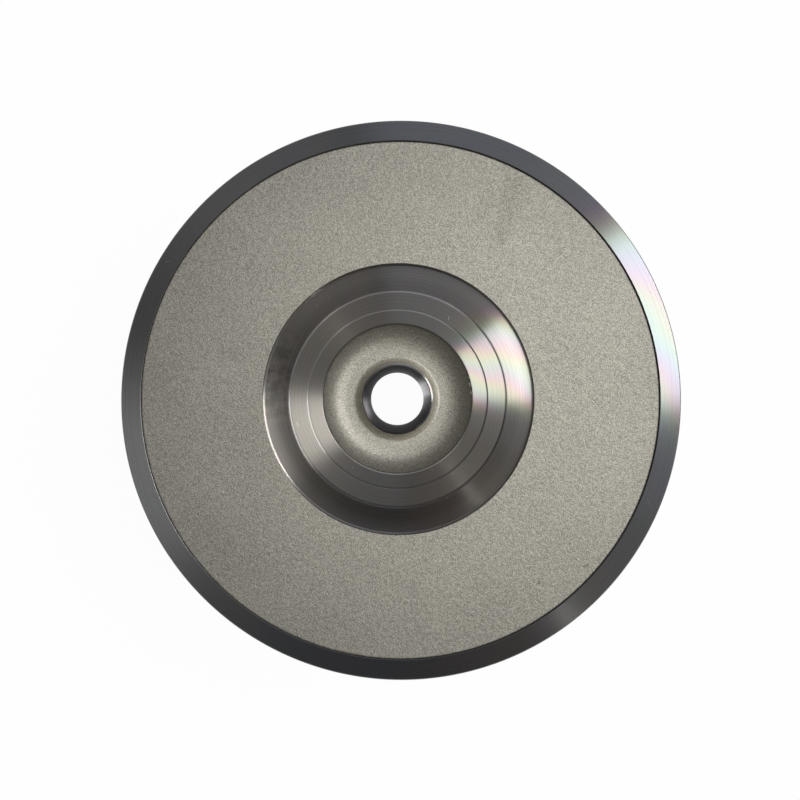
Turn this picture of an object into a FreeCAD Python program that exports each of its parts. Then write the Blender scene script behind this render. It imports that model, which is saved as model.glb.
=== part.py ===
import FreeCAD, Part
import math
import os

# Compressor wheel of a turbocharger, cast in aluminium and then turned, bored and chamfered.
# Millimetres and degrees. The shaft axis is Z, the nose stands on z = 0 and the back of the disc is up.

# Turned sizes of the whole wheel
wheel_radius = 50.0
wheel_height = 44.0
turning_allowance = 0.6
rim_edge_chamfer = 0.2

# Bore and nose
bore_radius = 6.0
bore_chamfer = 0.33
nose_wall = 3.8
nose_chamfer = 0.8
nose_length = 3.6

# Back of the disc, from the bore outwards: widths along the radius
mouth_chamfer = 0.12
lip_land = 0.36
lip_flank_width = 0.9
pocket_width = 6.0
seat_ring_width = 2.75
inner_ring_width = 3.25
ring_step_width = 0.2
flank_width = 4.75
rim_land_width = 3.7

# Back of the disc: steps along the axis
seat_step = 0.12
inner_ring_step = 0.12
flank_rise = 0.8
hub_cut_depth = 0.35
rim_step = 0.35
rim_fall = 0.35
pocket_depth = 3.4
lip_drop = 1.3
lip_fall = 0.14
rim_thickness = 1.6

# The pocket's floor rises to its edge as this power of the share of its width
dish_power = 3.4
lip_corner = 0.3

# Blades: full ones, each followed by a splitter
blade_count = 6
inducer_radius = 32.5
exducer_width = 6.2
inlet_straight = 5.0
hub_outlet_straight = 7.0
shroud_outlet_straight = 2.0
wrap_angle = 50.0
inlet_hub_angle = 32.0
inlet_tip_angle = 57.0
backsweep_angle = 36.0
elbow_pull = 0.5
blade_root_thickness = 1.9
blade_tip_thickness = 0.8
blade_start = 0.015
splitter_start = 0.44

# How finely the curves are followed
hub_cuts = 7
flank_cuts = 2
dish_cuts = 5
blade_strips = 5
blade_stations = 6

blade_blank_radius = wheel_radius + turning_allowance
disc_blank_radius = blade_blank_radius + turning_allowance
nose_radius = bore_radius + nose_wall

lip_radius = bore_radius + mouth_chamfer + lip_land
floor_radius = lip_radius + lip_flank_width
pocket_radius = floor_radius + pocket_width
seat_radius = pocket_radius + seat_ring_width
crest_radius = seat_radius + inner_ring_width
hub_radius = crest_radius + flank_width
rim_land_radius = wheel_radius - rim_land_width

inner_ring_z = wheel_height - inner_ring_step
seat_z = inner_ring_z - seat_step
lip_z = seat_z - lip_drop
floor_z = seat_z - pocket_depth
hub_cut_z = wheel_height - flank_rise
field_z = hub_cut_z + hub_cut_depth
rim_land_z = field_z + rim_step
rim_edge_z = rim_land_z - rim_fall
exit_z = rim_edge_z - rim_thickness


def point(radius, height):
    """A point of the half section, in the XZ plane."""
    return FreeCAD.Vector(radius, 0, height)


def line(start, end):
    return Part.LineSegment(start, end).toShape()


def lines(points):
    return [line(start, end) for start, end in zip(points, points[1:])]


def cut_corner(before, corner, after, leg):
    """The two points that replace a corner when a slope takes the same leg from both its sides."""
    points = []
    for neighbour in (before, after):
        side = neighbour - corner
        reach = min(leg, 0.45 * side.Length)
        points.append(corner + side.normalize() * reach)
    return points


def elbow(inlet_radius, outlet_radius, outlet_z):
    """Bezier curve that leaves its start along the axis and meets its end along the radius."""
    start_z = nose_length + inlet_straight
    curve = Part.BezierCurve()
    curve.setPoles([
        point(inlet_radius, start_z),
        point(inlet_radius, start_z + elbow_pull * (outlet_z - start_z)),
        point(outlet_radius - elbow_pull * (outlet_radius - inlet_radius), outlet_z),
        point(outlet_radius, outlet_z),
    ])
    return curve


def hub_elbow():
    """Floor of the air passages between its two straight ends."""
    return elbow(nose_radius, wheel_radius - hub_outlet_straight, exit_z)


def shroud_elbow():
    """Line of the blade tips between its two straight ends, as their housing has it."""
    return elbow(inducer_radius, wheel_radius - shroud_outlet_straight, exit_z - exducer_width)


def meridian(bend):
    """A whole line of the air passage: along the axis, round its elbow, and out along the radius."""
    start = point(bend.StartPoint.x, nose_length)
    end = point(blade_blank_radius, bend.EndPoint.z)
    curve = Part.LineSegment(start, bend.StartPoint).toBSpline()
    curve.join(bend.toBSpline())
    curve.join(Part.LineSegment(bend.EndPoint, end).toBSpline())
    return curve


def hub_points():
    """Hub line from the nose outwards, with its elbow in equal short cuts."""
    bend = hub_elbow()
    step = bend.length() / hub_cuts
    turned = [bend.value(bend.parameterAtDistance(step * index)) for index in range(hub_cuts + 1)]
    return [*turned, point(blade_blank_radius, exit_z)]


def flank_points():
    """Hollow flank of the turned hub, an arc that is level at its foot and rises to the crest."""
    radius = (flank_width ** 2 + flank_rise ** 2) / (2 * flank_rise)
    turn = math.asin(flank_width / radius)
    points = []
    for index in range(flank_cuts + 1):
        angle = turn * (1 - index / flank_cuts)
        points.append(point(
            hub_radius - radius * math.sin(angle),
            hub_cut_z + radius * (1 - math.cos(angle)),
        ))
    return points


def dish_points():
    """Dished floor of the pocket, level at the lip's foot and steepest at its edge."""
    points = []
    for index in range(dish_cuts + 1):
        share = index / dish_cuts
        points.append(point(
            floor_radius + pocket_width * share,
            floor_z + pocket_depth * share ** dish_power,
        ))
    return points


def pocket_points():
    """Mouth of the bore on its cast lip, and the cast pocket out to its edge."""
    lip_edge = point(lip_radius, lip_z - lip_fall)
    dish = dish_points()
    return [
        point(bore_radius, lip_z - mouth_chamfer),
        point(bore_radius + mouth_chamfer, lip_z),
        lip_edge,
        *cut_corner(lip_edge, dish[0], dish[1], lip_corner),
        *dish[1:],
    ]


def ring_points():
    """Two turned rings, each stepping up towards the crest."""
    return [
        point(seat_radius - ring_step_width, seat_z),
        point(seat_radius, inner_ring_z),
        point(crest_radius - ring_step_width, inner_ring_z),
    ]


def field_and_rim_points():
    """Wall round the turned hub, the cast field, the raised rim land and the disc's edge."""
    return [
        point(hub_radius + hub_cut_depth / 2, field_z),
        point(rim_land_radius - rim_step / 2, field_z),
        point(rim_land_radius, rim_land_z),
        point(wheel_radius - rim_edge_chamfer, rim_edge_z),
        point(disc_blank_radius, rim_edge_z - rim_edge_chamfer - 2 * turning_allowance),
        point(disc_blank_radius, exit_z),
    ]


def nose_points():
    """Turned nose that the shaft nut seats on, chamfered inside and outside."""
    return [
        point(bore_radius, bore_chamfer),
        point(bore_radius + bore_chamfer, 0),
        point(nose_radius - nose_chamfer, 0),
        point(nose_radius, nose_chamfer),
    ]


def disc_and_hub():
    """Everything that is round about the shaft axis, as one turned solid."""
    outline = pocket_points() + ring_points() + flank_points() + field_and_rim_points()
    outline += hub_points()[::-1] + nose_points()[::-1]
    section = Part.Face(Part.Wire(lines(outline + outline[:1])))
    return section.revolve(FreeCAD.Vector(0, 0, 0), FreeCAD.Vector(0, 0, 1), 360)


def wrap_share(share, slope_in, slope_out):
    """Share of the wrap angle used at a share of the curve's length, with the given slopes at its ends."""
    value = (share ** 3 - 2 * share ** 2 + share) * slope_in
    value += 3 * share ** 2 - 2 * share ** 3
    return value + (share ** 3 - share ** 2) * slope_out


def wrap_slope(share, slope_in, slope_out):
    """Rate of change of wrap_share."""
    value = (3 * share ** 2 - 4 * share + 1) * slope_in
    value += 6 * share - 6 * share ** 2
    return value + (3 * share ** 2 - 2 * share) * slope_out


def camber(curve, inlet_angle, thickness, start):
    """Stations of a blade along one meridian curve: (point, wrap, half the thickness as a turn)."""
    wrap = math.radians(wrap_angle)
    length = curve.length()
    slope_in = math.tan(math.radians(inlet_angle)) * length / (curve.value(0).x * wrap)
    slope_out = math.tan(math.radians(backsweep_angle)) * length / (blade_blank_radius * wrap)
    stations = []
    for index in range(blade_stations):
        share = start + (1 - start) * index / (blade_stations - 1)
        place = curve.value(curve.parameterAtDistance(share * length))
        turned = -wrap * wrap_share(share, slope_in, slope_out)
        lean = place.x * wrap * wrap_slope(share, slope_in, slope_out) / length
        half_turn = thickness * math.hypot(1, lean) / (2 * place.x)
        stations.append((place, turned, half_turn))
    return stations


def spline(points):
    """Smooth edge through points at even steps of its parameter."""
    curve = Part.BSplineCurve()
    last = len(points) - 1
    curve.interpolate(Points=points, Parameters=[index / last for index in range(len(points))])
    return curve.toShape()


def turned_about_axis(place, angle):
    return FreeCAD.Vector(place.x * math.cos(angle), place.x * math.sin(angle), place.z)


def blade_side(roots, tips, side):
    """Edges of one side of a blade, from its sunk root to its tip, evenly spaced along straight lines."""
    rows = [[] for _ in range(blade_strips + 1)]
    for (root, root_turn, root_half), (tip, tip_turn, tip_half) in zip(roots, tips):
        root_place = turned_about_axis(root, root_turn + side * root_half)
        tip_place = turned_about_axis(tip, tip_turn + side * tip_half)
        sunk = root_place + (root_place - tip_place).normalize() * (rim_thickness / 2)
        for index, row in enumerate(rows):
            row.append(sunk + (tip_place - sunk) * (index / blade_strips))
    return [spline(row) for row in rows]


def blade(start):
    """One blade from a share of the passage's length to the rim, closed all round by ruled faces."""
    roots = camber(meridian(hub_elbow()), inlet_hub_angle, blade_root_thickness, start)
    tips = camber(meridian(shroud_elbow()), inlet_tip_angle, blade_tip_thickness, start)
    left = blade_side(roots, tips, -1)
    right = blade_side(roots, tips, 1)
    loop = left + right[::-1]
    faces = [Part.makeRuledSurface(*pair) for pair in zip(loop, loop[1:] + loop[:1])]
    for end in (0, -1):
        faces += blade_end(left, right, end)
    shell = Part.makeShell(faces)
    shell.sewShape()
    solid = Part.makeSolid(shell)
    if solid.Volume < 0:
        solid.reverse()
    return solid


def blade_end(left, right, end):
    """Ruled faces across the leading or the trailing edge."""
    across = [line(a.Vertexes[end].Point, b.Vertexes[end].Point) for a, b in zip(left, right)]
    return [Part.makeRuledSurface(*pair) for pair in zip(across, across[1:])]


def blades():
    """Full blades, with a splitter in the middle of each passage."""
    full = blade(blade_start)
    splitter = blade(splitter_start)
    pitch = 360 / blade_count
    placed = []
    for index in range(blade_count):
        for shape, angle in ((full, index * pitch), (splitter, (index + 0.5) * pitch)):
            copy = shape.copy()
            copy.rotate(FreeCAD.Vector(0, 0, 0), FreeCAD.Vector(0, 0, 1), angle)
            placed.append(copy)
    return placed


def compressor_wheel():
    """Casting with all its blades, turned down to the wheel's outside."""
    casting = disc_and_hub().fuse(blades())
    turned = casting.common(Part.makeCylinder(wheel_radius, wheel_height))
    return turned.Solids[0]


os.makedirs("parts", exist_ok=True)
compressor_wheel().exportStep("parts/compressor_wheel.step")
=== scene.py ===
import math

import bpy
import numpy as np
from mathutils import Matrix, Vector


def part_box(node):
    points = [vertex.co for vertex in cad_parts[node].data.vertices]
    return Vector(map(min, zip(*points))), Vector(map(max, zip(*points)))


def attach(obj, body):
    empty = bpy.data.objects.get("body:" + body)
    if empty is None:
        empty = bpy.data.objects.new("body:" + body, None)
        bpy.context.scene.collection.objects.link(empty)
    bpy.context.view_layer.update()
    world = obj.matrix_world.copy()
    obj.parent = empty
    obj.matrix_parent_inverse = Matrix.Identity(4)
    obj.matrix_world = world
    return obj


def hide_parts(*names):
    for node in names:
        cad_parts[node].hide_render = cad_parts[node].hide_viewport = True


# Compressor wheel: a casting with blasted faces, and turned rings, rim, nose and bore.
# Sizes are in millimetres and degrees, as the part's source has them, and meshes are made in metres.
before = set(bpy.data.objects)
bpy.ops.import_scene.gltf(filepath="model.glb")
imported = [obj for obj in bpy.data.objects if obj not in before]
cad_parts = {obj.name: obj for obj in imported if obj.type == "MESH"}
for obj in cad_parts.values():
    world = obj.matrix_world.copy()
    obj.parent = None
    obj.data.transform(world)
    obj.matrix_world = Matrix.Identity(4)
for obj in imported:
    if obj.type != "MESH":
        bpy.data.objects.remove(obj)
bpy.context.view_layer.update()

WHEEL = "compressor_wheel"
MM = 0.001

low, high = (np.array(corner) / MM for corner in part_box(WHEEL))
WHEEL_RADIUS = (high - low)[:2].min() / 2
WHEEL_HEIGHT = high[2] - low[2]

# Bore and nose
BORE_RADIUS = 6.0
NOSE_BORE_CHAMFER = 0.33
NOSE_RADIUS = 9.8
NOSE_CHAMFER = 0.8
NOSE_LENGTH = 3.6

# Back of the disc, from the bore outwards
MOUTH_CHAMFER = 0.12
LIP_RADIUS = 6.48
FLOOR_RADIUS = 7.38
POCKET_RADIUS = 13.38
SEAT_RADIUS = 16.13
CREST_RADIUS = 19.38
HUB_RADIUS = 24.13
RIM_LAND_RADIUS = 46.3
RIM_EDGE_CHAMFER = 0.2
RING_STEP_WIDTH = 0.2

# Back of the disc: steps along the axis
SEAT_STEP = 0.12
INNER_RING_STEP = 0.12
LIP_DROP = 1.3
LIP_FALL = 0.14
POCKET_DEPTH = 3.4
FLANK_RISE = 0.8
HUB_CUT_DEPTH = 0.35
RIM_STEP = 0.35
RIM_FALL = 0.35
RIM_THICKNESS = 1.6

INNER_RING_Z = WHEEL_HEIGHT - INNER_RING_STEP
SEAT_Z = INNER_RING_Z - SEAT_STEP
LIP_Z = SEAT_Z - LIP_DROP
FLOOR_Z = SEAT_Z - POCKET_DEPTH
HUB_CUT_Z = WHEEL_HEIGHT - FLANK_RISE
FIELD_Z = HUB_CUT_Z + HUB_CUT_DEPTH
RIM_LAND_Z = FIELD_Z + RIM_STEP
RIM_EDGE_Z = RIM_LAND_Z - RIM_FALL
EXIT_Z = RIM_EDGE_Z - RIM_THICKNESS

# The pocket's floor is level at its lowest point and rises as a power of the share of its width. The curve
# starts at a share of the width that is clear of the lip's rounded foot.
DISH_POWER = 3.4
DISH_START = 0.27
LIP_FOOT_ROUNDING = 0.6

# Blades: full ones, each followed by a splitter
BLADE_COUNT = 6
TURNING_ALLOWANCE = 0.6
BLANK_RADIUS = WHEEL_RADIUS + TURNING_ALLOWANCE
INDUCER_RADIUS = 32.5
EXDUCER_WIDTH = 6.2
INLET_STRAIGHT = 5.0
HUB_OUTLET_STRAIGHT = 7.0
SHROUD_OUTLET_STRAIGHT = 2.0
WRAP_ANGLE = 50.0
INLET_HUB_ANGLE = 32.0
INLET_TIP_ANGLE = 57.0
BACKSWEEP_ANGLE = 36.0
BLADE_ROOT_THICKNESS = 1.9
BLADE_TIP_THICKNESS = 0.8
BLADE_START = 0.015
SPLITTER_START = 0.44
ROOT_FILLET = 1.3
ROOT_SUNK = 0.4
LEADING_EDGE_LENGTH = 1.6
LEADING_EDGE_BLUNTNESS = 0.01

COLUMNS = 480
CAST, TURNED, BORED = range(3)


# ---------------------------------------------------------------- node helpers

def add(tree, kind, sockets=(), **settings):
    """New node, with a value or a link for each named or numbered socket."""
    made = tree.nodes.new(kind)
    for name, value in settings.items():
        setattr(made, name, value)
    for key, value in dict(sockets).items():
        if isinstance(value, bpy.types.NodeSocket):
            tree.links.new(value, made.inputs[key])
        else:
            made.inputs[key].default_value = value
    return made


def maths(tree, operation, *values):
    return add(tree, "ShaderNodeMath", enumerate(values), operation=operation).outputs[0]


def vectors(tree, operation, *values):
    return add(tree, "ShaderNodeVectorMath", enumerate(values), operation=operation).outputs[0]


def measured(tree, operation, *values):
    """A number from vectors: a length or a dot product."""
    return add(tree, "ShaderNodeVectorMath", enumerate(values), operation=operation).outputs["Value"]


def scaled(tree, vector, factor):
    return add(tree, "ShaderNodeVectorMath", {0: vector, "Scale": factor}, operation="SCALE").outputs[0]


def combined(tree, *values):
    return add(tree, "ShaderNodeCombineXYZ", enumerate(values)).outputs[0]


def separated(tree, vector):
    return add(tree, "ShaderNodeSeparateXYZ", {0: vector}).outputs


def noise(tree, place, scale, detail=2.0, roughness=0.5):
    sockets = {"Vector": place, "Scale": scale, "Detail": detail, "Roughness": roughness}
    return add(tree, "ShaderNodeTexNoise", sockets).outputs[0]


def between(tree, value, start, end, low_value=0.0, high_value=1.0):
    """Smooth step of a value from one level to another."""
    sockets = {"Value": value, "From Min": start, "From Max": end, "To Min": low_value, "To Max": high_value}
    return add(tree, "ShaderNodeMapRange", sockets, interpolation_type="SMOOTHSTEP").outputs[0]


def tinted(tree, factor, colour_a, colour_b):
    """Mix of two colours."""
    sockets = {0: factor, 6: colour_a, 7: colour_b}
    return add(tree, "ShaderNodeMix", sockets, data_type="RGBA").outputs[2]


def ramped(tree, value, top, stops_wanted):
    """Colour at a value, from stops of (value, colour) that lie between 0 and a top value."""
    ramp = add(tree, "ShaderNodeValToRGB", {0: maths(tree, "DIVIDE", value, top)})
    stops = ramp.color_ramp.elements
    for stop, (spot, colour) in ((stops[1], stops_wanted[-1]), (stops[0], stops_wanted[0])):
        stop.position = spot / top
        stop.color = (*colour, 1)
    for spot, colour in stops_wanted[1:-1]:
        stops.new(spot / top).color = (*colour, 1)
    return ramp.outputs[0]


def greys(stops_wanted):
    """Stops of (value, level) with each level as a grey."""
    return [(spot, (level,) * 3) for spot, level in stops_wanted]


def distance_out(tree, place):
    """Distance from the axis."""
    return measured(tree, "LENGTH", vectors(tree, "MULTIPLY", place, (1, 1, 0)))


def angle_round(tree, place):
    """Angle round the axis in radians, from minus half a turn to half a turn."""
    parts = separated(tree, place)
    return maths(tree, "ARCTAN2", parts[1], parts[0])


def by_radius(tree, place, stops_wanted, top=60.0):
    """Colour from stops of (distance from the axis in millimetres, colour)."""
    return ramped(tree, maths(tree, "DIVIDE", distance_out(tree, place), MM), top, stops_wanted)


def by_direction(tree, direction, stops_wanted):
    """Colour from stops of (degrees round the axis, colour)."""
    turns = maths(tree, "DIVIDE", angle_round(tree, direction), 2 * math.pi)
    share = maths(tree, "FRACT", maths(tree, "ADD", turns, 1.0))
    return ramped(tree, maths(tree, "MULTIPLY", share, 360.0), 360.0, stops_wanted)


def new_finish(name):
    """Empty material with its output and the object's own coordinates."""
    material = bpy.data.materials.new(name)
    material.use_nodes = True
    tree = material.node_tree
    tree.nodes.clear()
    output = add(tree, "ShaderNodeOutputMaterial")
    place = add(tree, "ShaderNodeTexCoord").outputs["Object"]
    return material, tree, output, place


def set_metal(tree, output, sockets):
    """Metal shader joined to a material's output."""
    shader = add(tree, "ShaderNodeBsdfPrincipled", {"Metallic": 1.0, **sockets})
    tree.links.new(shader.outputs[0], output.inputs[0])


# ---------------------------------------------------------------- marks on the faces

STROKE_FADE = 1.15


def stroke(tree, place, start, end, half_width, core):
    """One on a stroke between two points and nothing beside it. It fades with the distance to the nearest
    point of their line, from the core's share of the half width to a little past it."""
    ends = np.array([start, end]) * MM
    run = ends[1] - ends[0]
    flat = vectors(tree, "MULTIPLY", place, (1, 1, 0))
    offset = vectors(tree, "SUBTRACT", flat, (*ends[0], 0))
    share = measured(tree, "DOT_PRODUCT", offset, (*(run / (run @ run)), 0))
    share = maths(tree, "MAXIMUM", maths(tree, "MINIMUM", share, 1.0), 0.0)
    gap = measured(tree, "LENGTH", vectors(tree, "SUBTRACT", offset, scaled(tree, (*run, 0), share)))
    return between(tree, gap, half_width * MM * core, half_width * MM * STROKE_FADE, 1.0, 0.0)


def marked(tree, place, level, marks, core=0.2):
    """Level with the change of each mark added where its stroke lies."""
    for start, end, half_width, change in marks:
        mark = stroke(tree, place, start, end, half_width, core)
        level = maths(tree, "ADD", level, maths(tree, "MULTIPLY", mark, change))
    return level


# Every mark below: both ends in millimetres, half width, and how much lighter or darker

# Handling marks on the blasted faces; the last three are chips on the pocket's edge, painted bright as glints
SCRATCHES_AND_EDGE_GLINTS = [
    ((25.4, 4.6), (27.8, 0.8), 0.10, 0.30), ((6.4, -40.6), (8.7, -40.3), 0.10, 0.25),
    ((7.0, 31.0), (7.5, 31.7), 0.12, 0.30), ((39.2, 6.6), (39.9, 5.9), 0.12, 0.30),
    ((-12.0, -33.5), (-10.6, -36.8), 0.05, 0.14), ((-30.5, -14.0), (-33.0, -12.2), 0.05, 0.12),
    ((14.0, -29.0), (18.5, -27.4), 0.05, 0.12), ((-22.0, 28.0), (-20.2, 30.6), 0.05, 0.12),
    ((13.16, 0.9), (13.12, 1.3), 0.10, 1.6), ((13.0, 2.3), (12.9, 2.8), 0.12, 1.6),
    ((12.75, 3.7), (12.7, 3.9), 0.08, 1.4),
]
SMUDGES = [
    ((18.2, 29.0), (21.2, 39.6), 3.0, -0.08), ((15.0, 33.0), (16.0, 36.0), 2.4, -0.05),
    ((-31.0, 8.6), (-28.2, 7.6), 1.7, -0.07), ((33.1, -29.5), (33.6, -29.2), 0.35, -0.35),
    ((25.0, -32.6), (25.1, -32.4), 0.28, -0.30), ((-8.0, -30.0), (2.0, -33.0), 3.5, -0.03),
    ((-36.0, -20.0), (-28.0, -30.0), 4.0, -0.03),
]

# Nicks in the turned faces
NICKS = [
    ((9.1, 14.1), (9.2, 14.6), 0.11, 1.2), ((14.0, 13.9), (14.1, 13.8), 0.10, 0.6),
    ((-14.4, 16.7), (-14.3, 16.8), 0.12, 0.7), ((-12.2, 18.3), (-12.1, 18.3), 0.10, 0.6),
    ((16.3, 17.6), (16.4, 17.7), 0.11, 0.7), ((8.8, -17.6), (8.9, -17.6), 0.10, 1.0),
    ((-8.0, -12.1), (-7.9, -12.3), 0.10, 0.8), ((-7.0, -13.3), (-6.9, -13.3), 0.08, 0.7),
    ((6.1, -12.6), (6.3, -12.6), 0.09, 0.8), ((-18.0, -4.2), (-17.7, -4.9), 0.12, 0.5),
    ((13.6, 21.4), (13.7, 21.3), 0.09, 0.6), ((44.6, 18.9), (44.8, 18.7), 0.09, -0.3),
    ((43.9, -17.6), (44.6, -18.9), 0.08, 0.5), ((-41.9, 24.7), (-41.2, 25.0), 0.15, 0.5),
]


# ---------------------------------------------------------------- blasted casting

CAST_COLOUR = (0.455, 0.44, 0.388)
CAST_ROUGHNESS = 0.65
GRAIN_SCALE = 4700.0
COARSE_GRAIN_SCALE = 1500.0
PATCH_SCALE = 45.0
GRAIN_DEPTH = 0.06 * MM
GRAIN_STRENGTH = 0.6
COARSE_RELIEF = 1.2

# What each noise does to the tone: while the noise goes from the first number to the second, the tone goes
# from the third to the fourth
GRAIN_TONE = (0.25, 0.75, 0.70, 1.30)
COARSE_GRAIN_TONE = (0.3, 0.7, -0.05, 0.05)
PATCH_TONE = (0.3, 0.7, -0.03, 0.03)

# Painted light and shade on the back, by radius: a painted shade line by the lip's edge and painted light on
# its flank, painted shade in the pocket's corner with a dark painted shade line at its edge, darker outwards,
# and a dark painted shade line by the rim land
CAST_PAINTED_LIGHT_AND_SHADE = [
    (6.40, 1.1), (6.54, 1.1), (6.66, 0.70), (6.80, 1.05), (7.0, 1.35), (7.3, 1.35), (7.6, 1.00), (9.5, 0.94),
    (10.7, 0.99), (12.2, 0.71), (13.1, 0.62), (13.35, 0.25), (15.0, 0.90), (26.0, 0.90), (35.0, 0.87),
    (46.02, 0.79), (46.10, 0.12), (46.34, 0.12), (46.5, 0.8),
]

# Tone elsewhere. The back is where the height less a share of the radius is over a limit, in metres.
FRONT_TONE = 0.9
BACK_SLOPE = 0.12
BACK_LIMITS = (0.0368, 0.0375)


def painted_back_light_and_shade(tree, place):
    """Painted light and shade by radius on the back, and one tone on the hub, the blades and the nose."""
    out = distance_out(tree, place)
    above = maths(tree, "SUBTRACT", separated(tree, place)[2], maths(tree, "MULTIPLY", out, BACK_SLOPE))
    tones = by_radius(tree, place, greys(CAST_PAINTED_LIGHT_AND_SHADE))
    return tinted(tree, between(tree, above, *BACK_LIMITS), (FRONT_TONE,) * 3 + (1,), tones)


def cast_finish():
    """Blasted casting: warm grey metal with a fine peened grain, faint smudges, a few handling marks, painted
    glints on chips at the pocket's edge, and painted light and shade by radius on the back.
    """
    material, tree, output, place = new_finish("blasted_casting")
    grain = noise(tree, place, GRAIN_SCALE, 1.0, 0.6)
    coarse = noise(tree, place, COARSE_GRAIN_SCALE)
    patches = noise(tree, place, PATCH_SCALE, 3.0)
    level = maths(tree, "ADD", between(tree, grain, *GRAIN_TONE), between(tree, coarse, *COARSE_GRAIN_TONE))
    level = maths(tree, "ADD", level, between(tree, patches, *PATCH_TONE))
    # Painted light and shade by radius on the back
    level = maths(tree, "MULTIPLY", level, painted_back_light_and_shade(tree, place))
    # Handling marks, and chips on the pocket's edge painted bright as glints
    level = marked(tree, place, level, SCRATCHES_AND_EDGE_GLINTS)
    level = marked(tree, place, level, SMUDGES, core=0.0)
    relief = maths(tree, "ADD", grain, maths(tree, "MULTIPLY", coarse, COARSE_RELIEF))
    bump = add(tree, "ShaderNodeBump",
               {"Strength": GRAIN_STRENGTH, "Distance": GRAIN_DEPTH, "Height": relief})
    set_metal(tree, output, {
        "Base Color": scaled(tree, CAST_COLOUR, level), "Roughness": CAST_ROUGHNESS,
        "Normal": bump.outputs[0],
    })
    return material


# ---------------------------------------------------------------- turned and bored metal

TURNED_ROUGHNESS = 0.29
RIPPLE_SCALE = 4200.0
RIPPLE_TONE = (0.25, 0.75, 0.89, 1.11)
STAIN_SCALE = 420.0
STAIN_TONE = (0.40, 0.60, -0.16, 0.26)

# Colour of the turned faces by radius: nose, two flat rings, crest, flank and rim
TURNED_COLOURS = [
    (7.0, (0.25, 0.24, 0.22)), (13.3, (0.28, 0.265, 0.24)), (19.3, (0.28, 0.265, 0.24)),
    (19.4, (0.17, 0.16, 0.148)), (21.0, (0.17, 0.16, 0.148)), (22.6, (0.215, 0.203, 0.187)),
    (24.4, (0.215, 0.203, 0.187)), (46.0, (0.172, 0.174, 0.178)), (50.0, (0.172, 0.174, 0.178)),
]

# Painted highlights and shade on three narrow bands, as colours by direction in degrees. The list after each
# says where its band lies, as (distance out from the edge in millimetres, share).

# Lip round the bore's mouth: a painted highlight along part of it and painted shade on the far side
LIP_PAINTED_LIGHT_AND_SHADE = [
    (0, (0.215, 0.21, 0.20)), (55, (0.20, 0.195, 0.185)), (85, (0.37, 0.36, 0.35)), (116, (0.32, 0.31, 0.30)),
    (135, (0.17, 0.165, 0.155)), (165, (0.13, 0.125, 0.12)), (200, (0.11, 0.105, 0.10)),
    (330, (0.13, 0.125, 0.12)), (359.9, (0.215, 0.21, 0.20)),
]
LIP_BAND = [(0.1, 1), (0.4, 0)]

# Pocket's turned edge: a painted highlight line on one side and a painted shade line across from it
EDGE_PAINTED_LIGHT_AND_SHADE = [
    (0, (0.24, 0.23, 0.21)), (35, (0.20, 0.19, 0.18)), (60, (0.03, 0.03, 0.03)), (150, (0.03, 0.03, 0.03)),
    (175, (0.24, 0.23, 0.21)), (215, (0.30, 0.29, 0.27)), (235, (0.95, 0.93, 0.88)),
    (320, (0.95, 0.93, 0.88)), (335, (0.28, 0.27, 0.25)), (359.9, (0.24, 0.23, 0.21)),
]
EDGE_BAND = [(-0.05, 0), (-0.01, 1), (0.14, 1), (0.20, 0)]

# Two small steps between the rings: a painted highlight on one side and painted shade on the other
STEP_PAINTED_LIGHT_AND_SHADE = [
    (0, (0.12, 0.12, 0.12)), (40, (0.14, 0.14, 0.14)), (60, (0.95, 0.94, 0.92)), (90, (0.85, 0.84, 0.82)),
    (120, (0.60, 0.59, 0.58)), (150, (0.38, 0.38, 0.37)), (170, (0.16, 0.16, 0.16)),
    (200, (0.08, 0.08, 0.08)), (225, (0.04, 0.04, 0.04)), (359.9, (0.08, 0.08, 0.08)),
]
STEP_BAND = [(-0.22, 0), (-0.18, 1), (-0.01, 1), (0.03, 0)]

# Where the hub's flank is stained, by direction and by radius
STAINED_DIRECTIONS = [(0, 0), (143, 0), (158, 1), (182, 1), (194, 0), (359.9, 0)]
STAINED_RADII = [(19.5, 0), (20.3, 1), (23.6, 1), (24.1, 0)]

# Bore's wall, by direction: a painted reflection, bright on one side and fainter across from it, and painted
# shade on the others
BORE_PAINTED_REFLECTION_AND_SHADE = [
    (0, (0.22, 0.21, 0.24)), (10, (0.46, 0.44, 0.49)), (24, (0.42, 0.40, 0.45)), (46, (0.17, 0.17, 0.18)),
    (80, (0.12, 0.115, 0.12)), (120, (0.06, 0.058, 0.062)), (135, (0.03, 0.03, 0.036)),
    (175, (0.035, 0.034, 0.04)), (186, (0.16, 0.15, 0.16)), (203, (0.16, 0.15, 0.16)),
    (218, (0.04, 0.038, 0.043)), (330, (0.06, 0.057, 0.065)), (359.9, (0.22, 0.21, 0.24)),
]
BORE_ROUGHNESS = [(0, 0.30), (10, 0.20), (30, 0.20), (46, 0.40), (330, 0.45), (359.9, 0.30)]

# Pale rainbow of the fine tool marks, painted as a sheen that is strongest on the window lamp's side
RAINBOW_TURNS = 17.0
RAINBOW_PER_METRE = 700.0
RAINBOW_THIRDS = (2.1, 4.2, 0.0)
RAINBOW_SHEEN_SIDE = math.radians(20)
RAINBOW_FADE = (math.radians(24), math.radians(32))
RAINBOW_STRENGTHS = (0.075, 0.01)
WANDER_STRETCH = 60.0
WANDER_SCALE = 3.0
WANDER = 5.0


def across_marks(tree, place):
    """Direction on a face square to the tool marks, which run round the axis."""
    along_marks = vectors(tree, "NORMALIZE", vectors(tree, "CROSS_PRODUCT", (0, 0, 1), place))
    normal = add(tree, "ShaderNodeNewGeometry").outputs["Normal"]
    return vectors(tree, "CROSS_PRODUCT", along_marks, normal)


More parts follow.
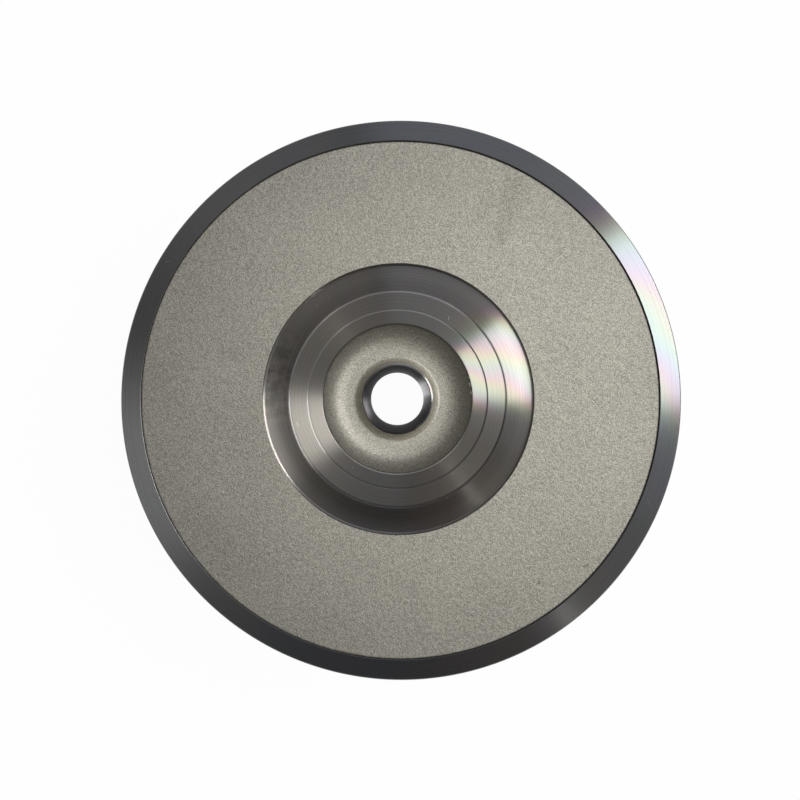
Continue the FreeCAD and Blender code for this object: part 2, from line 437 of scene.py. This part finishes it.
def rainbow(tree, angle, reach):
    """Tint 1 + s*cos(17*angle + 700*reach + wander), with red, green and blue a third of a turn apart. Its
    strength s is high on the window lamp's side, as a painted sheen, and fades to faint round the rest."""
    spot = combined(tree, maths(tree, "SINE", angle), maths(tree, "COSINE", angle),
                    maths(tree, "MULTIPLY", reach, WANDER_STRETCH))
    wander = maths(tree, "MULTIPLY", noise(tree, spot, WANDER_SCALE, 1.0), WANDER)
    phase = maths(tree, "ADD", maths(tree, "MULTIPLY", angle, RAINBOW_TURNS),
                  maths(tree, "MULTIPLY", reach, RAINBOW_PER_METRE))
    phase = maths(tree, "ADD", phase, wander)
    waves = vectors(tree, "COSINE", vectors(tree, "ADD", combined(tree, phase, phase, phase), RAINBOW_THIRDS))
    aside = maths(tree, "ABSOLUTE", maths(tree, "SUBTRACT", angle, RAINBOW_SHEEN_SIDE))
    strength = between(tree, aside, *RAINBOW_FADE, *RAINBOW_STRENGTHS)
    return vectors(tree, "ADD", scaled(tree, waves, strength), (1, 1, 1))


def turned_colour(tree, place):
    """Colour by radius, and painted highlights and shade by direction on the narrow bands."""
    colour = by_radius(tree, place, TURNED_COLOURS)
    bands = (
        ((SEAT_RADIUS, CREST_RADIUS), STEP_BAND, STEP_PAINTED_LIGHT_AND_SHADE),
        ((POCKET_RADIUS,), EDGE_BAND, EDGE_PAINTED_LIGHT_AND_SHADE),
        ((LIP_RADIUS,), LIP_BAND, LIP_PAINTED_LIGHT_AND_SHADE),
    )
    # Each band's colours are painted highlights and painted shade
    for edges, band, colours in bands:
        mask = greys([(edge + offset, level) for edge in edges for offset, level in band])
        colour = tinted(tree, by_radius(tree, place, mask), colour, by_direction(tree, place, colours))
    return colour


def turned_level(tree, place, reach):
    """How light the metal is: fine ripples along the outline, stains on the hub's flank, and nicks."""
    level = between(tree, noise(tree, combined(tree, reach), RIPPLE_SCALE, 2.0, 0.6), *RIPPLE_TONE)
    stained = maths(tree, "MULTIPLY", by_radius(tree, place, greys(STAINED_RADII)),
                    by_direction(tree, place, greys(STAINED_DIRECTIONS)))
    stain = between(tree, noise(tree, place, STAIN_SCALE, 3.0, 0.6), *STAIN_TONE)
    stain = maths(tree, "ADD", maths(tree, "MULTIPLY", stained, stain), 1.0)
    return marked(tree, place, maths(tree, "MULTIPLY", level, stain), NICKS)


def turned_finish():
    """Finely turned metal: glossy along the tool marks and spread wide across them, with a pale rainbow
    painted as a sheen on one side, and painted highlights and shade on narrow bands.
    """
    material, tree, output, place = new_finish("turned_metal")
    reach = maths(tree, "ADD", distance_out(tree, place), separated(tree, place)[2])
    # Rainbow tint, a painted sheen strongest on the window lamp's side
    tint = rainbow(tree, angle_round(tree, place), reach)
    colour = vectors(tree, "MULTIPLY", tint, turned_colour(tree, place))
    set_metal(tree, output, {
        "Base Color": scaled(tree, colour, turned_level(tree, place, reach)), "Roughness": TURNED_ROUGHNESS,
        "Anisotropic": 1.0, "Tangent": across_marks(tree, place),
    })
    return material


def bored_finish():
    """Bored wall, dull with fine marks round it and polished on one side, with a painted reflection and
    painted shade by direction.
    """
    material, tree, output, place = new_finish("bored_metal")
    set_metal(tree, output, {
        # Painted reflection and painted shade by direction
        "Base Color": by_direction(tree, place, BORE_PAINTED_REFLECTION_AND_SHADE),
        "Roughness": by_direction(tree, place, greys(BORE_ROUGHNESS)),
        "Anisotropic": 1.0, "Tangent": across_marks(tree, place),
    })
    return material


# ---------------------------------------------------------------- turned body

def rounded(corners, radii, steps=5, side_share=0.45, ease=0.03, ease_share=0.1):
    """Outline whose corner with radius R becomes an arc between points R*tan(half the turn) along its sides,
    within a share of the shorter one. An extra point just outside each end of the arc keeps the shading of
    the flats flat."""
    before = np.roll(corners, 1, axis=0) - corners
    after = np.roll(corners, -1, axis=0) - corners
    side_in = -before / np.linalg.norm(before, axis=1, keepdims=True)
    side_out = after / np.linalg.norm(after, axis=1, keepdims=True)
    cross = side_in[:, 0] * side_out[:, 1] - side_in[:, 1] * side_out[:, 0]
    turn = np.arctan2(np.abs(cross), (side_in * side_out).sum(axis=1))
    room_left = side_share * np.minimum(np.linalg.norm(before, axis=1), np.linalg.norm(after, axis=1))
    leg = np.minimum(radii * np.tan(turn / 2), room_left)
    radius = leg / np.maximum(np.tan(turn / 2), 1e-9)
    inward = np.stack([-side_in[:, 1], side_in[:, 0]], axis=1) * np.sign(cross)[:, None]
    angle = turn[:, None] * np.linspace(0, 1, steps)
    start = corners - side_in * leg[:, None]
    arc = start[:, None] + radius[:, None, None] * (
        np.sin(angle)[..., None] * side_in[:, None] + (1 - np.cos(angle))[..., None] * inward[:, None])
    gap = np.minimum(ease, ease_share * room_left)[:, None]
    blocks = np.concatenate([(start - side_in * gap)[:, None], arc,
                             (corners + side_out * (leg[:, None] + gap))[:, None]], axis=1)
    keep = np.ones(blocks.shape[:2], bool)
    keep[radii == 0, 1:] = False
    blocks[radii == 0, 0] = corners[radii == 0]
    order = np.repeat(np.arange(len(corners))[:, None], steps + 2, axis=1)
    return blocks[keep], order[keep]


def passage_line(inlet_radius, outlet_radius, outlet_z, steps=160):
    """Radius and height along an air passage: straight along the axis, a cubic Bezier elbow, then straight
    outwards."""
    t = np.linspace(0, 1, steps)
    start_z = NOSE_LENGTH + INLET_STRAIGHT
    poles = np.array([
        [inlet_radius, start_z],
        [inlet_radius, (start_z + outlet_z) / 2],
        [(inlet_radius + outlet_radius) / 2, outlet_z],
        [outlet_radius, outlet_z],
    ])
    weights = np.stack([(1 - t) ** 3, 3 * t * (1 - t) ** 2, 3 * t ** 2 * (1 - t), t ** 3], axis=1)
    return np.vstack([[inlet_radius, NOSE_LENGTH], weights @ poles, [BLANK_RADIUS, outlet_z]])


def hub_line():
    """Line where the blades meet the hub, from the nose out to the exit."""
    return passage_line(NOSE_RADIUS, WHEEL_RADIUS - HUB_OUTLET_STRAIGHT, EXIT_Z)


def shroud_line():
    """Line of the blade tips, from the inducer out to the exit."""
    return passage_line(INDUCER_RADIUS, WHEEL_RADIUS - SHROUD_OUTLET_STRAIGHT, EXIT_Z - EXDUCER_WIDTH)


def flank_arc(count=14):
    """Hollow flank: an arc level at its foot, of radius (width^2 + rise^2) / (2*rise), up to the crest."""
    width, rise = HUB_RADIUS - CREST_RADIUS, WHEEL_HEIGHT - HUB_CUT_Z
    radius = (width ** 2 + rise ** 2) / (2 * rise)
    angle = math.asin(width / radius) * np.linspace(1, 0, count)
    return np.stack([HUB_RADIUS - radius * np.sin(angle), HUB_CUT_Z + radius * (1 - np.cos(angle))], axis=1)


def dish_curve(count=20):
    """Dished floor of the pocket: it rises above its lowest point as the power of the share of its width."""
    share = np.linspace(DISH_START, 1, count + 1)[:-1]
    width = POCKET_RADIUS - FLOOR_RADIUS
    rise = (SEAT_Z - FLOOR_Z) * share ** DISH_POWER
    return np.stack([FLOOR_RADIUS + width * share, FLOOR_Z + rise], axis=1)


def smooth_run(points, finish):
    """Rows of a curve's points, which need no rounding."""
    return [(radius, height, 0.0, finish) for radius, height in points]


def body_outline():
    """Closed outline of everything round about the axis, as rows of (radius, height, rounding of the corner,
    finish of the side that follows): corner points, their roundings, and the finishes."""
    elbow = hub_line()[1:-1:4][::-1]
    rows = [
        (BORE_RADIUS, LIP_Z - MOUTH_CHAMFER, 0.04, TURNED),
        (BORE_RADIUS + MOUTH_CHAMFER, LIP_Z, 0.05, TURNED),
        (LIP_RADIUS, LIP_Z - LIP_FALL, 0.12, CAST),
        (FLOOR_RADIUS, FLOOR_Z, LIP_FOOT_ROUNDING, CAST),
        *smooth_run(dish_curve(), CAST),
        (POCKET_RADIUS, SEAT_Z, 0.08, TURNED),
        (SEAT_RADIUS - RING_STEP_WIDTH, SEAT_Z, 0.05, TURNED),
        (SEAT_RADIUS, INNER_RING_Z, 0.05, TURNED),
        (CREST_RADIUS - RING_STEP_WIDTH, INNER_RING_Z, 0.05, TURNED),
        *smooth_run(flank_arc(), TURNED),
        (HUB_RADIUS + HUB_CUT_DEPTH / 2, FIELD_Z, 0.06, CAST),
        (RIM_LAND_RADIUS - RIM_STEP / 2, FIELD_Z, 0.1, CAST),
        (RIM_LAND_RADIUS, RIM_LAND_Z, 0.06, TURNED),
        (WHEEL_RADIUS - RIM_EDGE_CHAMFER, RIM_EDGE_Z, 0.06, TURNED),
        (WHEEL_RADIUS, RIM_EDGE_Z - RIM_EDGE_CHAMFER, 0.06, TURNED),
        (WHEEL_RADIUS, EXIT_Z, 0.04, CAST),
        *smooth_run(elbow, CAST),
        (NOSE_RADIUS, NOSE_CHAMFER, 0.1, TURNED),
        (NOSE_RADIUS - NOSE_CHAMFER, 0.0, 0.1, TURNED),
        (BORE_RADIUS + NOSE_BORE_CHAMFER, 0.0, 0.05, TURNED),
        (BORE_RADIUS, NOSE_BORE_CHAMFER, 0.05, BORED),
    ]
    table = np.array(rows)
    return table[:, :2], table[:, 2], table[:, 3].astype(int)


def turned_body(finishes):
    """Surface of revolution: each outline point (r, z) goes round to (r*cos a, r*sin a, z)."""
    corners, radii, sides = body_outline()
    outline, order = rounded(corners, radii)
    angle = np.linspace(0, 2 * math.pi, COLUMNS, endpoint=False)
    points = np.stack([
        outline[:, :1] * np.cos(angle), outline[:, :1] * np.sin(angle),
        np.repeat(outline[:, 1:], COLUMNS, axis=1),
    ], axis=-1)
    row, column = np.meshgrid(np.arange(len(outline)), np.arange(COLUMNS), indexing="ij")
    next_row, next_column = (row + 1) % len(outline), (column + 1) % COLUMNS
    faces = np.stack([
        row * COLUMNS + column, next_row * COLUMNS + column,
        next_row * COLUMNS + next_column, row * COLUMNS + next_column,
    ], axis=-1).reshape(-1, 4)
    slots = np.repeat(sides[order], COLUMNS)
    return make_piece("turned_body", points.reshape(-1, 3), faces, slots, finishes)


# ---------------------------------------------------------------- blades

def along(line, shares):
    """Radius and height at shares of a line's length, and that length."""
    length = np.concatenate([[0], np.cumsum(np.linalg.norm(np.diff(line, axis=0), axis=1))])
    return (np.interp(shares * length[-1], length, line[:, 0]),
            np.interp(shares * length[-1], length, line[:, 1]), length[-1])


def blade_edge(line, share, inlet_angle, thickness, side, nose):
    """Points on one side of a blade along a passage line: the wrap is a cubic Hermite curve of the share,
    and the half thickness is measured square to it, times a rounded nose."""
    radius, height, length = along(line, share)
    wrap = math.radians(WRAP_ANGLE)
    slope_in = math.tan(math.radians(inlet_angle)) * length / (line[0, 0] * wrap)
    slope_out = math.tan(math.radians(BACKSWEEP_ANGLE)) * length / (BLANK_RADIUS * wrap)
    used = (share ** 3 - 2 * share ** 2 + share) * slope_in + 3 * share ** 2 - 2 * share ** 3
    used += (share ** 3 - share ** 2) * slope_out
    rate = (3 * share ** 2 - 4 * share + 1) * slope_in + 6 * share - 6 * share ** 2
    rate += (3 * share ** 2 - 2 * share) * slope_out
    stretch = np.hypot(1, radius * wrap * rate / length) / radius
    angle = -wrap * used + side * nose * thickness * stretch / 2
    return np.stack([radius * np.cos(angle), radius * np.sin(angle), height], axis=-1), stretch


def leading_nose(share, start, hub):
    """Share of the full thickness near the leading edge: a quarter ellipse, sqrt(1 - (1 - x)^2), blunted."""
    reach = (share - start) * along(hub, share)[2] / LEADING_EDGE_LENGTH
    return np.sqrt(np.clip(1 - (1 - np.minimum(reach, 1)) ** 2, LEADING_EDGE_BLUNTNESS, 1))


def blade_sides(start, stations=72, crowding=1.15, rows=16, arc_rows=7):
    """Both sides of a blade as straight rulings from root to tip, with a fillet of radius R at the root whose
    offset is R*(1 - sin a) at the height R*(1 - cos a)."""
    share = start + (1 - start) * np.linspace(0, 1, stations) ** crowding
    hub, shroud = hub_line(), shroud_line()
    nose = leading_nose(share, start, hub)
    turn = np.linspace(0, math.pi / 2, arc_rows)
    sides = []
    for side in (-1, 1):
        root, stretch = blade_edge(hub, share, INLET_HUB_ANGLE, BLADE_ROOT_THICKNESS, side, nose)
        tip, _ = blade_edge(shroud, share, INLET_TIP_ANGLE, BLADE_TIP_THICKNESS, side, nose)
        span = np.linalg.norm(tip - root, axis=1)[:, None]
        rise = np.concatenate([
            np.broadcast_to([-ROOT_SUNK], (stations, 1)),
            np.broadcast_to(ROOT_FILLET * (1 - np.cos(turn)), (stations, arc_rows)),
            ROOT_FILLET + (span - ROOT_FILLET) * np.linspace(0, 1, rows + 1)[1:],
        ], axis=1)
        flare = np.zeros(arc_rows + rows + 1)
        flare[:arc_rows + 1] = ROOT_FILLET * (1 - np.sin(np.concatenate([[0], turn])))
        points = root[:, None] + (tip - root)[:, None] * (rise / span)[..., None]
        twist = side * flare[None, :] * stretch[:, None]
        cosine, sine = np.cos(twist), np.sin(twist)
        points = np.stack([
            points[..., 0] * cosine - points[..., 1] * sine,
            points[..., 0] * sine + points[..., 1] * cosine, points[..., 2],
        ], axis=-1)
        sides.append(trimmed(points))
    return sides


def trimmed(points, last=8):
    """Rows of points cut off where their last stations pass the wheel's radius, with all stations spread
    again."""
    radius = np.hypot(points[..., 0], points[..., 1])
    station = np.arange(len(points))
    row = np.arange(points.shape[1])
    end = np.array([np.interp(WHEEL_RADIUS, radius[-last:, index], station[-last:]) for index in row])
    place = station[:, None] * end / station[-1]
    below = np.minimum(place.astype(int), len(points) - 2)
    part = (place - below)[..., None]
    return points[below, row] * (1 - part) + points[below + 1, row] * part


def blade_mesh(start):
    """Closed mesh of one blade: at each station a ring up one side, over the tip and down the other, and caps
    at the ends."""
    left, right = blade_sides(start)
    ring = np.concatenate([left, right[:, ::-1]], axis=1)
    stations, count = ring.shape[:2]
    half = count // 2
    row, column = np.meshgrid(np.arange(stations - 1), np.arange(count), indexing="ij")
    turn = (column + 1) % count
    skin = np.stack([row * count + column, row * count + turn,
                     (row + 1) * count + turn, (row + 1) * count + column], axis=-1).reshape(-1, 4)
    skin_slots = np.where(column == half - 1, TURNED, CAST).reshape(-1)
    step = np.arange(half - 1)
    cap = np.stack([step, count - 1 - step, count - 2 - step, step + 1], axis=-1)
    first, last = cap, cap[:, ::-1] + (stations - 1) * count
    faces = np.concatenate([skin, first, last])
    slots = np.concatenate([skin_slots, np.full(len(cap), CAST), np.full(len(cap), TURNED)])
    return ring.reshape(-1, 3), faces, slots


def blade_row(finishes):
    """All blades, full and splitter, spaced evenly about the axis."""
    points, faces, slots = [], [], []
    total = 0
    for start, offset in ((BLADE_START, 0.0), (SPLITTER_START, 0.5)):
        shape, shape_faces, shape_slots = blade_mesh(start)
        for index in range(BLADE_COUNT):
            angle = 2 * math.pi * (index + offset) / BLADE_COUNT
            cosine, sine = math.cos(angle), math.sin(angle)
            turn = np.array([[cosine, sine, 0], [-sine, cosine, 0], [0, 0, 1]])
            points.append(shape @ turn)
            faces.append(shape_faces + total)
            slots.append(shape_slots)
            total += len(shape)
    return make_piece("blade_row", np.concatenate(points), np.concatenate(faces),
                      np.concatenate(slots), finishes)


def make_piece(name, points, faces, slots, finishes):
    """Mesh object at the origin from points in millimetres."""
    mesh = bpy.data.meshes.new(name)
    mesh.from_pydata((points * MM).tolist(), [], faces.tolist())
    for finish in finishes:
        mesh.materials.append(finish)
    mesh.polygons.foreach_set("material_index", slots.astype(np.int32))
    mesh.shade_smooth()
    mesh.update()
    piece = bpy.data.objects.new(name, mesh)
    bpy.context.scene.collection.objects.link(piece)
    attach(piece, "root")
    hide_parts(WHEEL)
    return piece


# ---------------------------------------------------------------- floor, room and lamps, in metres

FLOOR_FLAT = 2.0
FLOOR_END = 4.0
FLOOR_LIFT = 0.85
FLOOR_MIDDLE = 0.02
FLOOR_COLOUR = (0.85, 0.85, 0.85, 1)
FLOOR_GLOW = 0.97


def floor_material():
    """White paper that also shows white to the camera and in reflections, and keeps a little of its shade."""
    material, tree, output, _ = new_finish("white_floor")
    paper = add(tree, "ShaderNodeBsdfDiffuse", {"Color": FLOOR_COLOUR})
    glow = add(tree, "ShaderNodeEmission", {"Color": (1, 1, 1, 1), "Strength": 1.0})
    path = add(tree, "ShaderNodeLightPath").outputs
    mirrored = maths(tree, "MAXIMUM", path["Is Glossy Ray"], path["Is Transmission Ray"])
    seen = maths(tree, "MAXIMUM", path["Is Camera Ray"], mirrored)
    mix = add(tree, "ShaderNodeMixShader",
              {0: maths(tree, "MULTIPLY", seen, FLOOR_GLOW), 1: paper.outputs[0], 2: glow.outputs[0]})
    tree.links.new(mix.outputs[0], output.inputs[0])
    return material


def studio_floor(count=96, lift_steps=12):
    """Round floor that is level and then turns up into a low wall far away, as lift*x^2 over the last
    stretch."""
    reach = np.concatenate([[FLOOR_MIDDLE], np.linspace(FLOOR_FLAT, FLOOR_END, lift_steps)])
    beyond = np.maximum(reach - FLOOR_FLAT, 0.0) / (FLOOR_END - FLOOR_FLAT)
    angle = np.linspace(0, 2 * math.pi, count, endpoint=False)
    points = np.stack([reach[:, None] * np.cos(angle), reach[:, None] * np.sin(angle),
                       np.repeat(FLOOR_LIFT * beyond[:, None] ** 2, count, axis=1)], axis=-1).reshape(-1, 3)
    points = np.vstack([points, [0, 0, 0]])
    row, column = np.meshgrid(np.arange(len(reach) - 1), np.arange(count), indexing="ij")
    turn = (column + 1) % count
    quads = np.stack([row * count + column, (row + 1) * count + column,
                      (row + 1) * count + turn, row * count + turn], axis=-1).reshape(-1, 4)
    step = np.arange(count)
    middle = np.stack([np.full(count, len(points) - 1), step, (step + 1) % count], axis=-1)
    mesh = bpy.data.meshes.new("studio_floor")
    mesh.from_pydata(points.tolist(), [], quads.tolist() + middle.tolist())
    mesh.materials.append(floor_material())
    mesh.shade_smooth()
    floor = bpy.data.objects.new("studio_floor", mesh)
    bpy.context.scene.collection.objects.link(floor)


def panel(name, azimuth, width, bottom, top, distance, radiance, colour):
    """Upright lamp facing the axis, as wide as an angle seen from there, between two heights."""
    lamp = bpy.data.lights.new(name, "AREA")
    lamp.shape = "RECTANGLE"
    lamp.size = 2 * distance * math.tan(math.radians(width / 2))
    lamp.size_y = top - bottom
    lamp.energy = radiance * math.pi * lamp.size * lamp.size_y
    lamp.color = colour
    holder = bpy.data.objects.new(name, lamp)
    turn = math.radians(azimuth)
    holder.location = (distance * math.cos(turn), distance * math.sin(turn), (bottom + top) / 2)
    holder.rotation_euler = (math.pi / 2, 0, turn + math.pi / 2)
    bpy.context.scene.collection.objects.link(holder)


# What stands round the bench, by its direction in degrees: dim walls, a lighter one, and dark gaps
WALLS = [
    (0, (0.50, 0.50, 0.53)), (38, (0.46, 0.46, 0.48)), (43, (0.86, 0.86, 0.90)), (52, (1.00, 1.01, 1.06)),
    (60, (0.88, 0.91, 0.99)), (94, (0.86, 0.90, 0.99)), (97, (0.42, 0.43, 0.45)), (103, (0.48, 0.48, 0.49)),
    (107, (0.62, 0.62, 0.63)), (135, (0.55, 0.54, 0.54)), (155, (0.30, 0.29, 0.28)),
    (165, (0.16, 0.15, 0.145)), (172, (0.26, 0.25, 0.235)), (188, (0.22, 0.21, 0.20)),
    (210, (0.08, 0.075, 0.07)), (236, (0.12, 0.115, 0.105)), (243, (0.03, 0.027, 0.03)),
    (256, (0.0, 0.0, 0.002)), (272, (0.0, 0.0, 0.002)), (282, (0.10, 0.070, 0.065)),
    (300, (0.16, 0.12, 0.11)), (309, (0.50, 0.48, 0.45)), (334, (0.54, 0.53, 0.50)),
    (338, (0.76, 0.78, 0.84)), (352, (0.80, 0.82, 0.88)), (359.9, (0.50, 0.50, 0.53)),
]

# The same lower down: the pale bench on one side, shade on the others
BENCH = [
    (0, (0.12, 0.12, 0.12)), (50, (0.02, 0.02, 0.02)), (120, (0.01, 0.01, 0.01)), (180, (0.06, 0.06, 0.06)),
    (205, (0.15, 0.15, 0.14)), (235, (0.34, 0.33, 0.32)), (315, (0.38, 0.37, 0.35)),
    (335, (0.15, 0.15, 0.14)), (359.9, (0.12, 0.12, 0.12)),
]

# Where the room changes with height, as the sine of the elevation
BENCH_FADE = (0.40, 0.48)
BENCH_LOW_SHARE = 0.2
WALL_FOOT = (0.60, 0.66)
OVERHEAD = (0.955, 0.985)
OVERHEAD_SHARE = 0.5


def room():
    """Dim room whose light goes by the angle round the axis. Low down it is the bench's, and straight
    overhead it is dimmer."""
    world = bpy.data.worlds.new("room")
    world.use_nodes = True
    tree = world.node_tree
    direction = add(tree, "ShaderNodeTexCoord").outputs["Generated"]
    height = separated(tree, direction)[2]
    bench = scaled(tree, by_direction(tree, direction, BENCH),
                   between(tree, height, *BENCH_FADE, BENCH_LOW_SHARE, 1.0))
    walls = scaled(tree, by_direction(tree, direction, WALLS),
                   between(tree, height, *OVERHEAD, 1.0, OVERHEAD_SHARE))
    background = tree.nodes["Background"]
    tree.links.new(tinted(tree, between(tree, height, *WALL_FOOT), bench, walls), background.inputs["Color"])
    background.inputs["Strength"].default_value = 1.0
    bpy.context.scene.world = world


CAMERA_HEIGHT = 0.1937
CAMERA_TILT = (math.radians(0.9), math.radians(2.35), 0)


def camera():
    """Camera on the wheel's axis above its back, turned a little off it and shifted back."""
    lens = bpy.data.cameras.new("camera")
    lens.sensor_width = 36.0
    lens.lens = 37.8
    lens.shift_x = 0.0465
    lens.shift_y = -0.0179
    lens.clip_start = 0.005
    holder = bpy.data.objects.new("camera", lens)
    holder.location = (0, 0, CAMERA_HEIGHT)
    holder.rotation_euler = CAMERA_TILT
    bpy.context.scene.collection.objects.link(holder)
    bpy.context.scene.camera = holder


bpy.context.scene.view_settings.view_transform = "Standard"
camera()
studio_floor()
room()
panel("window", azimuth=17.8, width=38.3, bottom=0.5, top=1.6, distance=0.5, radiance=11.8,
      colour=(1.0, 0.99, 0.97))
panel("door_gap", azimuth=308, width=0.6, bottom=0.3, top=1.4, distance=0.5, radiance=9.0,
      colour=(1.0, 0.96, 0.90))

finishes = [cast_finish(), turned_finish(), bored_finish()]
turned_body(finishes)
blade_row(finishes)
